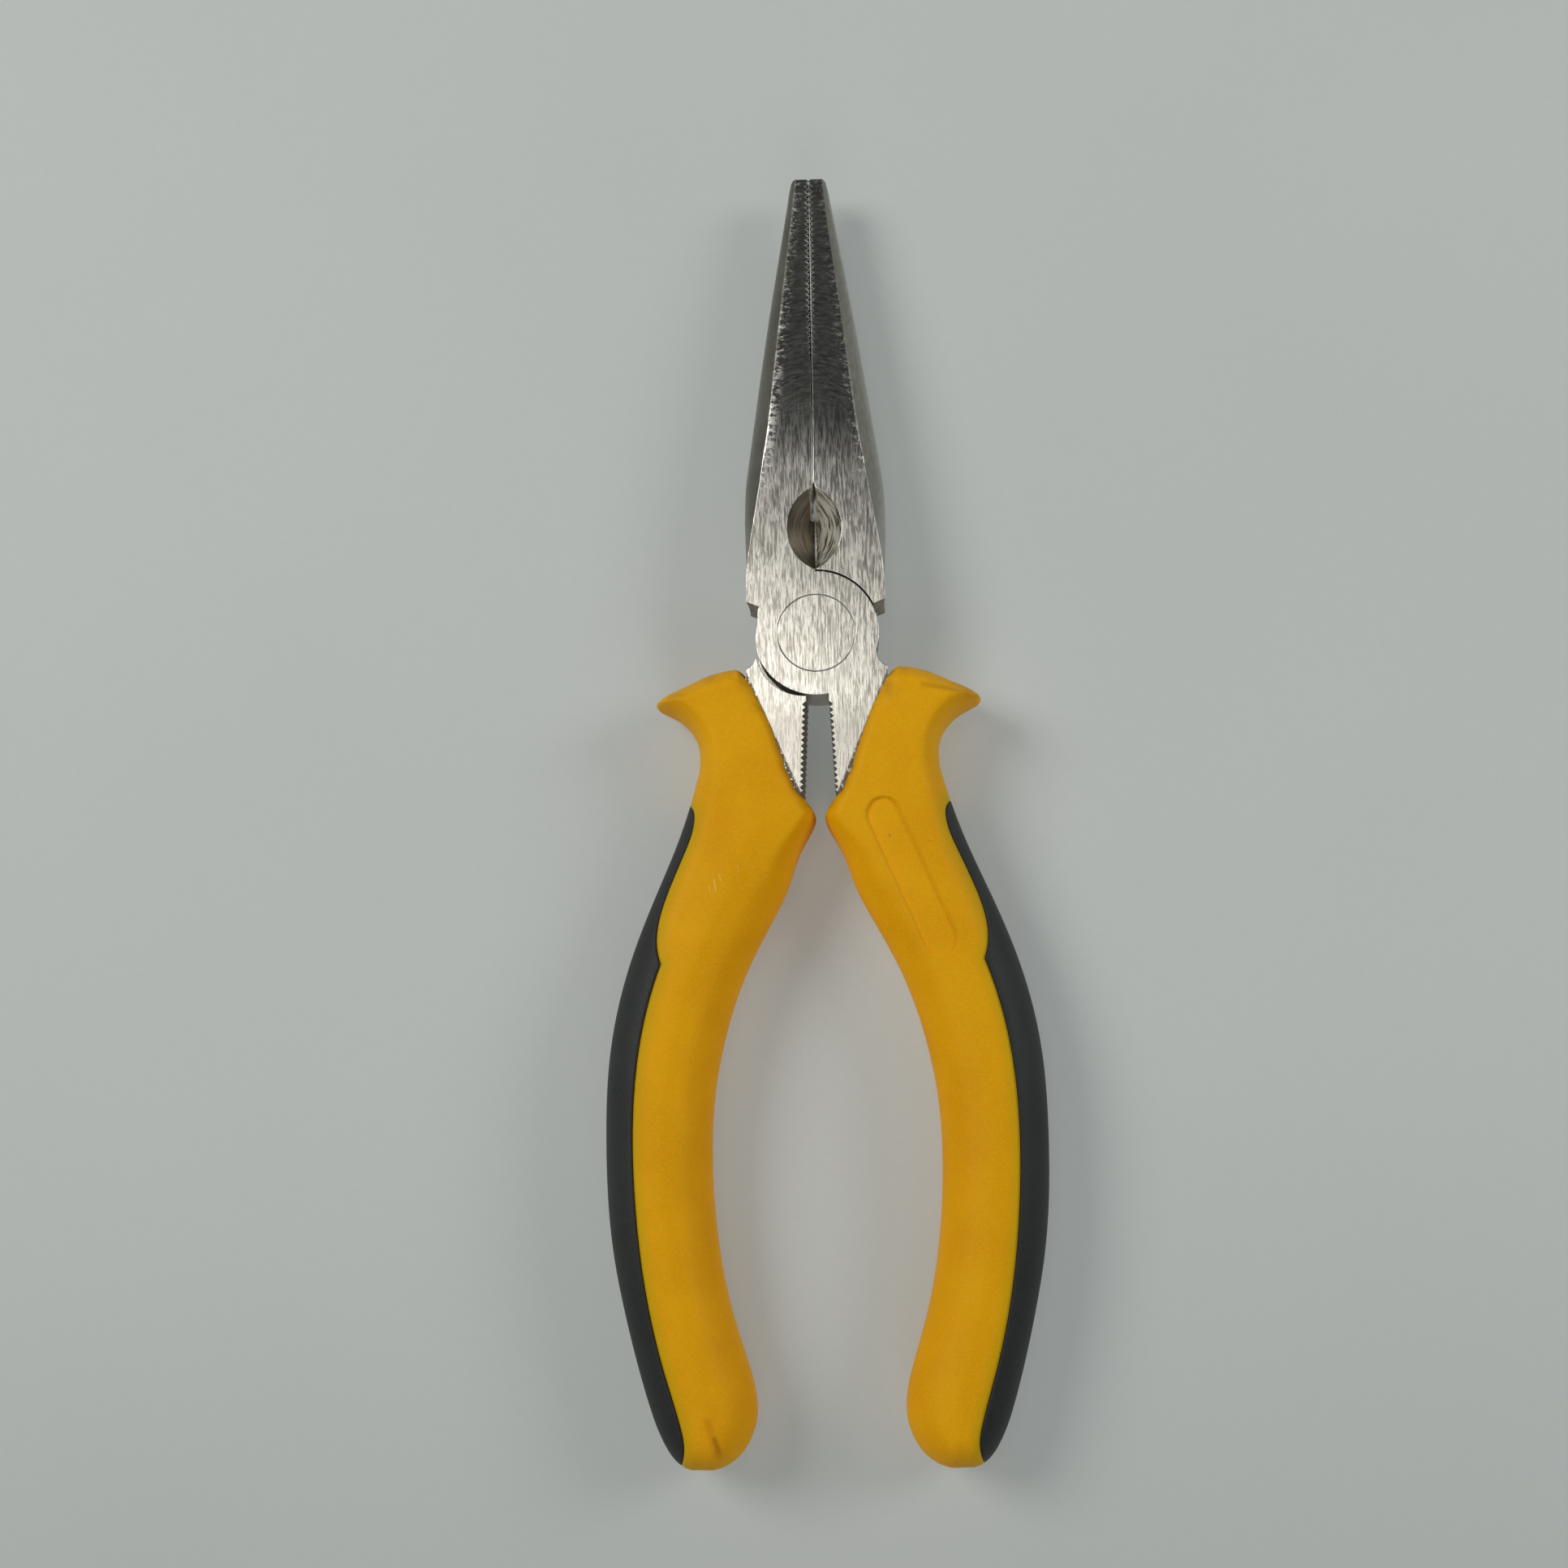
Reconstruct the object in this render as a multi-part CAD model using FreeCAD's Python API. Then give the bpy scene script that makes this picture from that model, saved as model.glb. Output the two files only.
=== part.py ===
"""Long nose pliers, 160 mm: two forged levers on a flush rivet, each handle in a two-colour moulded grip.

Frame: the tool lies flat. The origin is the pivot centre at mid thickness, +Z runs along the rivet,
+Y points to the nose and +X to the right-hand handle. Lengths are in millimetres.
The upper lever carries the left jaw, the upper half of the lap joint and the right handle. The lower
lever is the same forging turned half a turn about Y, so every shape is drawn once, on the +X side.
"""

import FreeCAD, Part
import math
import os

from FreeCAD import Vector

# Overall and joint
NOSE_TIP_Y = 58.9
HANDLE_END_Y = -100.65
HEAD_HALF_THICKNESS = 4.75
BOSS_RADIUS = 7.7
BOSS_FLANK_X = 7.15
LAP_GAP = 0.03
POCKET_GAP = 0.2
POCKET_RELIEF_RADIUS = 6.1
POCKET_RELIEF_CENTRE = (1.45, -1.7)

# Rivet
RIVET_HEAD_RADIUS = 4.8
RIVET_SHANK_RADIUS = 3.4
RIVET_HEAD_DEPTH = 0.6
RIVET_CONE_DEPTH = 1.4
RIVET_RIM_CHAMFER = 0.08
RUNNING_CLEARANCE = 0.03

# Jaw: (y, half width at mid thickness, half width of the flat face, half thickness)
JAW_ROOT_STATIONS = [
    (1.0, 8.28, 8.24, 4.75),
    (9.0, 8.62, 8.30, 4.75),
    (15.0, 8.80, 7.35, 4.75),
    (22.0, 8.25, 6.20, 4.75),
]
JAW_TAPER_STATIONS = [
    (22.0, 8.25, 6.20, 4.75),
    (28.0, 7.35, 5.25, 4.55),
    (36.0, 6.15, 4.35, 3.85),
    (44.0, 4.85, 3.40, 3.00),
    (52.0, 3.45, 2.40, 2.15),
    (60.0, 2.15, 1.60, 1.30),
]
JAW_END_GAP = 0.03
JAW_MID_GAP = 0.12
JAW_OUTSIDE_X = 14.0
TIP_HALF_WIDTH = 2.25
TIP_INNER_RADIUS = 0.35
TIP_OUTER_RADIUS = 0.6
SHOULDER_OUTER = (8.6, 4.05)
SHOULDER_INNER = (6.6, 3.25)

# Teeth, on the jaws and between the handles
TOOTH_PITCH = 0.73
JAW_TEETH = 32
JAW_TEETH_TOP_Y = 58.4
JAW_TOOTH_DEPTH = 0.38
TOOTH_CREST_X = -0.05
TOOTH_COMB_BACK_X = -1.0
TANG_TEETH = 16
TANG_TEETH_TOP_Y = -8.5
TANG_TOOTH_DEPTH = 0.45

# Cutter: a lens-shaped relief in each face, sloping to an edge at mid thickness
CUTTER_TOP_Y = 18.3
CUTTER_BOTTOM_Y = 7.95
CUTTER_HALF_WIDTH = 3.4
CUTTER_EDGE_HALF_LENGTH = 3.7
CUTTER_EDGE_CENTRE_Y = 11.7
CUTTER_LAND = 0.12
CUTTER_OVERRUN = 0.1
STRIPPER_NOTCHES = [(17.55, 1.35, 0.34), (15.95, 0.85, 0.48)]

# Tang, right-hand side
SLOT_TOP_X = 1.4
SLOT_BOTTOM_X = 2.0
SLOT_BOTTOM_Y = -21.0
TANG_INNER = [(2.0, -21.0), (3.1, -24.0), (8.4, -35.0), (12.9, -45.0), (15.5, -55.0), (16.4, -65.0),
              (15.9, -75.0), (14.2, -87.0)]
TANG_OUTER = [(17.9, -87.0), (20.7, -75.0), (21.3, -65.0), (20.7, -55.0), (18.9, -45.0), (16.3, -35.0),
              (13.4, -24.0), (12.3, -15.0), (10.2, -9.0), (8.65, -5.2)]
TANG_END_Y = -89.5
TANG_ROOT_X = 6.0
TANG_ROOT_Y = -2.0
EAR_CORNER = (8.65, -4.35)
EAR_HOLLOW_MIDDLE = (7.65, -3.45)
EAR_HOLLOW_END = (7.25, -2.4)
TANG_NECK_TOP_Y = -22.0
TANG_NECK_BOTTOM_Y = -33.0
TANG_BAR_HALF_THICKNESS = 2.8
NECK_OVERRUN = 0.5

# Grip body, right-hand side: its silhouette from the top of the horn to the end of the handle
GRIP_TOP = (10.6, -3.85)
GRIP_END = (15.6, HANDLE_END_Y)
GRIP_OUTER = [(13.9, -4.7), (17.5, -6.3), (19.6, -7.45), (20.15, -8.25), (19.2, -8.95), (17.0, -10.2),
              (15.3, -12.2), (14.68, -15.0), (15.25, -18.0), (17.3, -24.3), (21.4, -33.9), (24.6, -42.8),
              (26.35, -51.5), (26.85, -61.5), (26.2, -74.0), (24.2, -84.5), (21.85, -93.2), (20.1, -97.6),
              (18.3, -99.9)]
GRIP_INNER = [(9.3, -4.35), (8.4, -5.75), (7.1, -8.3), (5.75, -11.3), (4.2, -15.3), (2.95, -18.4),
              (1.85, -20.5), (0.95, -21.6), (0.6, -22.7), (1.7, -25.0), (3.9, -30.4), (8.0, -38.4), (11.3, -46.2),
              (13.3, -54.5), (14.0, -63.0), (13.45, -73.2), (11.6, -83.0), (9.7, -89.2), (8.95, -93.2),
              (9.4, -96.3), (11.1, -99.0), (12.9, -100.2)]
GRIP_HALF_THICKNESS = 6.35
GRIP_CROWN = 0.1
GRIP_TOP_ROUND = 1.2
GRIP_END_ROUND = 5.0
GRIP_ROUND_SHARE = 0.35
CORNER_WIDTH_SHARE = 0.45
HORN_CORNER_RADIUS = 1.5
HANDLE_CORNER_RADIUS = 4.9
CORNER_BLEND_TOP_Y = -7.0
CORNER_BLEND_BOTTOM_Y = -32.0
HORN_STATIONS = [-3.9, -4.1, -4.4, -4.8, -5.3, -5.9, -6.5, -7.1, -7.7, -8.2, -8.7, -9.2, -9.8, -10.5, -11.4,
                 -12.6, -14.0, -16.0]
HANDLE_STATIONS = [-16.0, -18.0, -20.0, -21.3, -22.6, -24.2, -27.0, -32.0, -38.0, -46.0, -54.0, -62.0, -70.0,
                   -78.0, -85.0, -90.0, -93.4, -95.6]
END_STATIONS = [-95.6, -97.2, -98.5, -99.4, -100.0, -100.35, -100.6]

# Soft insert: the part of the grip body outboard of this line
INSERT_UPPER = [(17.5, -20.3), (16.2, -20.6), (15.45, -21.6), (15.35, -23.2), (16.6, -26.9), (18.9, -32.2),
                (20.0, -36.6), (19.5, -40.3)]
INSERT_LOWER = [(19.5, -40.3), (20.4, -42.8), (22.1, -49.5), (23.1, -59.5), (22.9, -69.0), (21.8, -79.0),
                (19.7, -88.5), (17.9, -94.6), (17.45, -97.6), (17.9, -99.6), (19.0, -101.5)]
INSERT_FAR_X = 34.0

# Plain recessed panel on the upper face of the right-hand grip
PANEL_CENTRE = (11.0, -30.2)
PANEL_SLANT = 23.5
PANEL_LENGTH = 20.6
PANEL_WIDTH = 4.2
PANEL_DEPTH = 0.3

BIG = 20.0


def spline(points):
    """An open B-spline edge through points of (x, y), at z = 0."""
    curve = Part.BSplineCurve()
    curve.interpolate([Vector(x, y, 0) for x, y in points])
    return curve.toShape()


def line(a, b):
    return Part.makeLine(Vector(a[0], a[1], 0), Vector(b[0], b[1], 0))


def polyline(points):
    """Line edges through points of (x, y)."""
    return [line(a, b) for a, b in zip(points, points[1:])]


def prism(edges, z_low, z_high):
    """The closed plan outline made of edges, extruded from z_low to z_high."""
    wire = Part.Wire(Part.__sortEdges__(edges))
    face = Part.Face(wire)
    face.translate(Vector(0, 0, z_low))
    return face.extrude(Vector(0, 0, z_high - z_low))


def polygon_prism(points, z_low, z_high):
    return prism(polyline(points + points[:1]), z_low, z_high)


def cylinder(radius, z_low, z_high):
    return Part.makeCylinder(radius, z_high - z_low, Vector(0, 0, z_low))


def half_turn(shape):
    """A copy turned half a turn about the tool's long axis: from the +X side to the -X side."""
    turned = shape.copy()
    turned.rotate(Vector(0, 0, 0), Vector(0, 1, 0), 180)
    return turned


def jaw_section(y, half_width, face_width, half_thickness):
    """One jaw's cross-section: flat on the inside and on both faces, rounded on the outside."""
    low_inner = Vector(0, y, -half_thickness)
    low_outer = Vector(face_width, y, -half_thickness)
    side = Vector(half_width, y, 0)
    high_outer = Vector(face_width, y, half_thickness)
    high_inner = Vector(0, y, half_thickness)
    return Part.Wire([
        Part.makeLine(low_inner, low_outer),
        Part.Arc(low_outer, side, high_outer).toShape(),
        Part.makeLine(high_outer, high_inner),
        Part.makeLine(high_inner, low_inner),
    ])


def jaw_plan():
    """The jaw's plan: the hollow inner face, the rounded tip and the sloping shoulder."""
    mid_y = 0.5 * (CUTTER_TOP_Y + NOSE_TIP_Y)
    tip_inner_start = Vector(JAW_END_GAP, NOSE_TIP_Y - TIP_INNER_RADIUS, 0)
    tip_inner_end = Vector(JAW_END_GAP + TIP_INNER_RADIUS, NOSE_TIP_Y, 0)
    tip_outer_start = Vector(TIP_HALF_WIDTH - TIP_OUTER_RADIUS, NOSE_TIP_Y, 0)
    tip_outer_end = Vector(TIP_HALF_WIDTH, NOSE_TIP_Y - TIP_OUTER_RADIUS, 0)
    corner = 1 - math.sqrt(0.5)
    inner_mid = Vector(JAW_END_GAP + corner * TIP_INNER_RADIUS, NOSE_TIP_Y - corner * TIP_INNER_RADIUS, 0)
    outer_mid = Vector(TIP_HALF_WIDTH - corner * TIP_OUTER_RADIUS, NOSE_TIP_Y - corner * TIP_OUTER_RADIUS, 0)
    hollow_start = Vector(JAW_END_GAP, CUTTER_TOP_Y, 0)
    hollow_mid = Vector(JAW_MID_GAP, mid_y, 0)
    edges = [
        line((JAW_END_GAP, SHOULDER_INNER[1]), (JAW_END_GAP, CUTTER_TOP_Y)),
        Part.Arc(hollow_start, hollow_mid, tip_inner_start).toShape(),
        Part.Arc(tip_inner_start, inner_mid, tip_inner_end).toShape(),
        Part.makeLine(tip_inner_end, tip_outer_start),
        Part.Arc(tip_outer_start, outer_mid, tip_outer_end).toShape(),
    ]
    edges += polyline([
        (TIP_HALF_WIDTH, NOSE_TIP_Y - TIP_OUTER_RADIUS),
        (JAW_OUTSIDE_X, NOSE_TIP_Y - 2 * BIG),
        (JAW_OUTSIDE_X, SHOULDER_OUTER[1]),
        SHOULDER_OUTER,
        SHOULDER_INNER,
        (JAW_END_GAP, SHOULDER_INNER[1]),
    ])
    return prism(edges, -BIG, BIG)


def jaw_teeth():
    """The V grooves across the jaw's inner face, as one comb to cut away."""
    points = [(TOOTH_COMB_BACK_X, JAW_TEETH_TOP_Y)]
    for i in range(JAW_TEETH):
        top = JAW_TEETH_TOP_Y - i * TOOTH_PITCH
        points += [(TOOTH_CREST_X, top), (JAW_TOOTH_DEPTH, top - TOOTH_PITCH / 2)]
    bottom = JAW_TEETH_TOP_Y - JAW_TEETH * TOOTH_PITCH
    points += [(TOOTH_CREST_X, bottom), (TOOTH_COMB_BACK_X, bottom)]
    return polygon_prism(points, -BIG, BIG)


def lens_wire(z, low_y, high_y, half_width):
    """A pointed lens between low_y and high_y, as two arcs."""
    mid_y = 0.5 * (low_y + high_y)
    low = Vector(0, low_y, z)
    high = Vector(0, high_y, z)
    return Part.Wire([
        Part.Arc(low, Vector(half_width, mid_y, z), high).toShape(),
        Part.Arc(high, Vector(-half_width, mid_y, z), low).toShape(),
    ])


def cutter_relief():
    """The sloping hollow in the upper face that leaves a cutting edge at mid thickness."""
    edge_low = CUTTER_EDGE_CENTRE_Y - CUTTER_EDGE_HALF_LENGTH
    edge_high = CUTTER_EDGE_CENTRE_Y + CUTTER_EDGE_HALF_LENGTH
    rise = HEAD_HALF_THICKNESS - CUTTER_LAND
    top_low = CUTTER_BOTTOM_Y + CUTTER_OVERRUN * (CUTTER_BOTTOM_Y - edge_low)
    top_high = CUTTER_TOP_Y + CUTTER_OVERRUN * (CUTTER_TOP_Y - edge_high)
    top_half_width = CUTTER_HALF_WIDTH * (1 + CUTTER_OVERRUN)
    return Part.makeLoft([
        lens_wire(CUTTER_LAND, edge_low, edge_high, CUTTER_LAND),
        lens_wire(HEAD_HALF_THICKNESS + CUTTER_OVERRUN * rise, top_low, top_high, top_half_width),
    ], True, True)


def stripper_notches():
    """Small round-ended openings between the jaws, above the cutting edge."""
    notches = []
    for y, half_length, half_width in STRIPPER_NOTCHES:
        wire = lens_wire(-BIG, y - half_length, y + half_length, half_width)
        notches.append(Part.Face(wire).extrude(Vector(0, 0, 2 * BIG)))
    return notches


def jaw():
    """The right-hand jaw from its shoulder to the tip, at full thickness."""
    root = Part.makeLoft([jaw_section(*s) for s in JAW_ROOT_STATIONS], True, False)
    taper = Part.makeLoft([jaw_section(*s) for s in JAW_TAPER_STATIONS], True, False)
    body = root.fuse(taper).common(jaw_plan())
    body = body.cut(jaw_teeth())
    relief = cutter_relief()
    for tool in [relief, half_turn(relief), *stripper_notches()]:
        body = body.cut(tool)
    return body


def tang_inner_teeth():
    """The toothed edge of the slot between the handles, as plan points from top to bottom."""
    def edge_x(y):
        share = (y - TANG_TEETH_TOP_Y) / (SLOT_BOTTOM_Y - TANG_TEETH_TOP_Y)
        return SLOT_TOP_X + share * (SLOT_BOTTOM_X - SLOT_TOP_X)

    points = []
    for i in range(TANG_TEETH):
        top = TANG_TEETH_TOP_Y - i * TOOTH_PITCH
        points.append((edge_x(top), top))
        points.append((edge_x(top) + TANG_TOOTH_DEPTH, top - TOOTH_PITCH / 2))
    return points


def tang():
    """The right-hand handle bar: ear, toothed slot edge and the tapering bar inside the grip."""
    end_mid = ((TANG_INNER[-1][0] + TANG_OUTER[0][0]) / 2, TANG_END_Y)
    edges = polyline([(SLOT_TOP_X, TANG_ROOT_Y), *tang_inner_teeth(), TANG_INNER[0]])
    edges.append(spline(TANG_INNER))
    edges.append(Part.Arc(
        Vector(*TANG_INNER[-1], 0), Vector(*end_mid, 0), Vector(*TANG_OUTER[0], 0)).toShape())
    edges.append(spline(TANG_OUTER))
    edges.append(line(TANG_OUTER[-1], EAR_CORNER))
    edges.append(Part.Arc(
        Vector(*EAR_CORNER, 0), Vector(*EAR_HOLLOW_MIDDLE, 0), Vector(*EAR_HOLLOW_END, 0)).toShape())
    edges += polyline([EAR_HOLLOW_END, (TANG_ROOT_X, TANG_ROOT_Y), (SLOT_TOP_X, TANG_ROOT_Y)])
    plan = prism(edges, -HEAD_HALF_THICKNESS, HEAD_HALF_THICKNESS)

    full, thin, above = HEAD_HALF_THICKNESS, TANG_BAR_HALF_THICKNESS, HEAD_HALF_THICKNESS + NECK_OVERRUN
    upper_side = [(0.0, above), (TANG_NECK_TOP_Y + NECK_OVERRUN, above), (TANG_NECK_TOP_Y, full),
                  (TANG_NECK_BOTTOM_Y, thin), (TANG_END_Y - NECK_OVERRUN, thin)]
    profile = [Vector(0, y, z) for y, z in upper_side] + [Vector(0, y, -z) for y, z in reversed(upper_side)]
    side = Part.Face(Part.makePolygon(profile + profile[:1])).extrude(Vector(2 * BIG, 0, 0))
    return plan.common(side)


def joint_pocket():
    """Room for the other lever's boss, cut from below the lap plane of the upper lever."""
    z_low, z_high = -BIG, LAP_GAP / 2
    room = cylinder(BOSS_RADIUS + POCKET_GAP, z_low, z_high)
    relief = cylinder(POCKET_RELIEF_RADIUS, z_low, z_high)
    relief.translate(Vector(*POCKET_RELIEF_CENTRE, 0))
    return room.fuse(relief)


def boss():
    """The upper lever's half of the lap joint, with a straight flank below its own jaw."""
    z_low, z_high = LAP_GAP / 2, HEAD_HALF_THICKNESS
    flank = Part.makeBox(BIG, BIG, z_high - z_low, Vector(-BIG - BOSS_FLANK_X, -BIG / 2, z_low))
    return cylinder(BOSS_RADIUS, z_low, z_high).cut(flank)


def rivet_profile(clearance, rim):
    """The rivet as a solid of revolution, grown by clearance, with a rim chamfer."""
    top = HEAD_HALF_THICKNESS
    head = RIVET_HEAD_RADIUS + clearance
    shank = RIVET_SHANK_RADIUS + clearance
    cone_top = top - RIVET_HEAD_DEPTH - clearance
    cone_bottom = cone_top - RIVET_CONE_DEPTH
    upper = [(head - rim, top), (head, top - rim), (head, cone_top), (shank, cone_bottom)]
    if not rim:
        upper = upper[1:]
    right = [(r, z) for r, z in upper] + [(r, -z) for r, z in reversed(upper)]
    points = [Vector(0, 0, top)] + [Vector(r, 0, z) for r, z in right] + [Vector(0, 0, -top)]
    face = Part.Face(Part.makePolygon(points + points[:1]))
    return face.revolve(Vector(0, 0, 0), Vector(0, 0, 1), 360)


def upper_lever():
    """Left jaw, upper half of the lap joint and right-hand tang, in one forging."""
    blank = half_turn(jaw()).fuse(tang()).cut(joint_pocket())
    return blank.fuse(boss()).removeSplitter()


def x_at(edge, y):
    """Where the silhouette edge crosses height y; it falls steadily from top to bottom."""
    curve = edge.Curve
    low, high = edge.FirstParameter, edge.LastParameter
    for _ in range(50):
        middle = 0.5 * (low + high)
        if curve.value(middle).y > y:
            low = middle
        else:
            high = middle
    return curve.value(low).x


def grip_half_thickness(y):
    """Half thickness at height y, rounded off towards both ends."""
    shape = 1.0
    for distance, radius in ((GRIP_TOP[1] - y, GRIP_TOP_ROUND), (y - HANDLE_END_Y, GRIP_END_ROUND)):
        if distance < radius:
            shape = min(shape, math.sqrt(1 - (1 - distance / radius) ** 2))
    return (GRIP_HALF_THICKNESS + GRIP_CROWN) * (1 - GRIP_ROUND_SHARE + GRIP_ROUND_SHARE * shape)


def grip_section(y, x_inner, x_outer):
    """One level cross-section of the grip body: a rectangle with round corners."""
    share = (CORNER_BLEND_TOP_Y - y) / (CORNER_BLEND_TOP_Y - CORNER_BLEND_BOTTOM_Y)
    share = min(1.0, max(0.0, share))
    radius = HORN_CORNER_RADIUS + share * (HANDLE_CORNER_RADIUS - HORN_CORNER_RADIUS)
    radius = min(radius, CORNER_WIDTH_SHARE * (x_outer - x_inner))
    depth = grip_half_thickness(y)
    sine = math.sqrt(0.5)
    corners = [(x_outer - radius, depth - radius, 1, 1), (x_inner + radius, depth - radius, -1, 1),
               (x_inner + radius, radius - depth, -1, -1), (x_outer - radius, radius - depth, 1, -1)]
    arcs = []
    for x, z, sx, sz in corners:
        side = Vector(x + sx * radius, y, z)
        middle = Vector(x + sx * sine * radius, y, z + sz * sine * radius)
        flat = Vector(x, y, z + sz * radius)
        ends = (side, flat) if sx * sz > 0 else (flat, side)
        arcs.append((ends[0], middle, ends[1]))
    edges = []
    for i, (start, middle, end) in enumerate(arcs):
        edges.append(Part.Arc(start, middle, end).toShape())
        edges.append(Part.makeLine(end, arcs[(i + 1) % 4][0]))
    return Part.Wire(edges)


def grip_body():
    """The whole right-hand grip, both colours together, before the bar is cut out of it.

    The crown is shaved to a flat strip along the top and the underside, which the tool rests on.
    """
    outer = spline([GRIP_TOP, *GRIP_OUTER, GRIP_END])
    inner = spline([GRIP_TOP, *GRIP_INNER, GRIP_END])
    pieces = []
    for stations, ruled in ((HORN_STATIONS, True), (HANDLE_STATIONS, False), (END_STATIONS, True)):
        wires = [grip_section(y, x_at(inner, y), x_at(outer, y)) for y in stations]
        pieces.append(Part.makeLoft(wires, True, ruled))
    slab = Part.makeBox(4 * BIG, 8 * BIG, 2 * GRIP_HALF_THICKNESS, Vector(-BIG, -7 * BIG, -GRIP_HALF_THICKNESS))
    return pieces[0].fuse(pieces[1:]).common(slab)


def insert_zone():
    """Everything outboard of the line where the two colours meet."""
    edges = [spline(INSERT_UPPER), spline(INSERT_LOWER)]
    edges += polyline([
        INSERT_LOWER[-1], (INSERT_FAR_X, INSERT_LOWER[-1][1]), (INSERT_FAR_X, INSERT_UPPER[0][1]),
        INSERT_UPPER[0],
    ])
    return prism(edges, -BIG, BIG)


def panel_recess():
    """A round-ended slot across the surface, laid along the handle."""
    radius, reach = PANEL_WIDTH / 2, (PANEL_LENGTH - PANEL_WIDTH) / 2
    edges = [
        line((radius, -reach), (radius, reach)),
        Part.Arc(Vector(radius, reach, 0), Vector(0, reach + radius, 0), Vector(-radius, reach, 0)).toShape(),
        line((-radius, reach), (-radius, -reach)),
        Part.Arc(Vector(-radius, -reach, 0), Vector(0, -reach - radius, 0), Vector(radius, -reach, 0)).toShape(),
    ]
    recess = prism(edges, GRIP_HALF_THICKNESS - PANEL_DEPTH, BIG)
    recess.rotate(Vector(0, 0, 0), Vector(0, 0, 1), PANEL_SLANT)
    recess.translate(Vector(*PANEL_CENTRE, 0))
    return recess


def export(name, shape):
    solids = shape.Solids
    if not solids or not all(s.isValid() for s in solids):
        print("warning: bad solid in", name)
    kept = solids[0] if len(solids) == 1 else Part.makeCompound(solids)
    kept.exportStep(os.path.join("parts", name + ".step"))
    box = kept.BoundBox
    print(f"{name}: {len(solids)} solid(s), {kept.Volume / 1000:.2f} cm3, "
          f"x {box.XMin:.2f}..{box.XMax:.2f}, y {box.YMin:.2f}..{box.YMax:.2f}, z {box.ZMin:.2f}..{box.ZMax:.2f}")


def main():
    os.makedirs("parts", exist_ok=True)
    forging = upper_lever()
    tight = rivet_profile(0.0, 0.0)
    loose = rivet_profile(RUNNING_CLEARANCE, 0.0)
    export("upper_lever", forging.cut(loose))
    export("lower_lever", half_turn(forging).cut(tight))
    export("pivot_rivet", rivet_profile(0.0, RIVET_RIM_CHAMFER))

    body = grip_body()
    zone = insert_zone()
    sleeve = body.cut(zone).cut(forging)
    insert = body.common(zone)
    export("right_sleeve", sleeve.cut(panel_recess()))
    export("right_grip_insert", insert)
    export("left_sleeve", half_turn(sleeve))
    export("left_grip_insert", half_turn(insert))


main()
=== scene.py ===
"""Looks for the long nose pliers: materials for the steel, modelled grips, floor, lights and camera.

Built in metres in the CAD frame: +Z along the rivet, +Y to the nose, +X to the right-hand handle.
"""
import math

import bpy
import numpy as np
from mathutils import Matrix, Vector


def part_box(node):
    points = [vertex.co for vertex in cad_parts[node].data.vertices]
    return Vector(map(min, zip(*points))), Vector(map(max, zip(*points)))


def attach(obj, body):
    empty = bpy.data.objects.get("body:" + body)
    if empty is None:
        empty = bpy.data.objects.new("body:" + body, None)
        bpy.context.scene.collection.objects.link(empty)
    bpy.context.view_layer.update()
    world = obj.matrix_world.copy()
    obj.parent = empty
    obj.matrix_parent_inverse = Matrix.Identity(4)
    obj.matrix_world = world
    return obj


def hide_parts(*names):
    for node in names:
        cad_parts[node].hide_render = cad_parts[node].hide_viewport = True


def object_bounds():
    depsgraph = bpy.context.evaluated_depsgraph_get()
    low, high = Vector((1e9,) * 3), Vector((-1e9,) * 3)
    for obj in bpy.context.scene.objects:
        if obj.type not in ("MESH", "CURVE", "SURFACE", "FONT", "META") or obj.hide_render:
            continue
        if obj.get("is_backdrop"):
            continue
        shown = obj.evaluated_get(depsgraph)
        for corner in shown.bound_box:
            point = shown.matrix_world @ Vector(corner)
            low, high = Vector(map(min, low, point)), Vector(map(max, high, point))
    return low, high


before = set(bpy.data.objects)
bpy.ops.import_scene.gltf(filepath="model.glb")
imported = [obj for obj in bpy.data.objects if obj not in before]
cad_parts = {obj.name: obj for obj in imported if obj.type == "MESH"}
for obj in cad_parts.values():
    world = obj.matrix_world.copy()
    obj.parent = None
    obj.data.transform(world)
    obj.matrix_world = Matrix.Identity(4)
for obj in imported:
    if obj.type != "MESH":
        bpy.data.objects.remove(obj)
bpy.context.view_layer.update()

MM = 0.001


# ---------------------------------------------------------------- camera, floor and light

def camera():
    """Above the tool, leaning a little towards the handles and to the right."""
    distance, tilt, swing, roll = 300 * MM, math.radians(6.63), math.radians(2.40), math.radians(-1.0)
    aim_right, aim_up = -4.154 * MM, -18.036 * MM
    back = Vector((math.sin(swing), -math.sin(tilt) * math.cos(swing), math.cos(tilt) * math.cos(swing)))
    level = Vector((0, 1, 0)).cross(back).normalized()
    upward = back.cross(level)
    right = math.cos(roll) * level + math.sin(roll) * upward
    up = back.cross(right)
    cam = bpy.data.objects.new("camera", bpy.data.cameras.new("camera"))
    bpy.context.scene.collection.objects.link(cam)
    cam.data.sensor_width = 36
    cam.data.lens = 55.27
    cam.data.clip_start, cam.data.clip_end = 0.01, 20
    turn = Matrix((right, up, back)).transposed().to_4x4()
    cam.matrix_world = Matrix.Translation(back * distance + right * aim_right + up * aim_up) @ turn
    bpy.context.scene.camera = cam


def area_light(name, place, size, watts, tint, aim=(0, -0.02, 0)):
    data = bpy.data.lights.new(name, "AREA")
    data.shape = "DISK"
    data.size, data.energy, data.color = size, watts, tint
    lamp = bpy.data.objects.new(name, data)
    bpy.context.scene.collection.objects.link(lamp)
    lamp.location = place
    lamp.rotation_mode = "QUATERNION"
    lamp.rotation_quaternion = (Vector(aim) - Vector(place)).to_track_quat("-Z", "Y")


# ---------------------------------------------------------------- node materials

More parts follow.
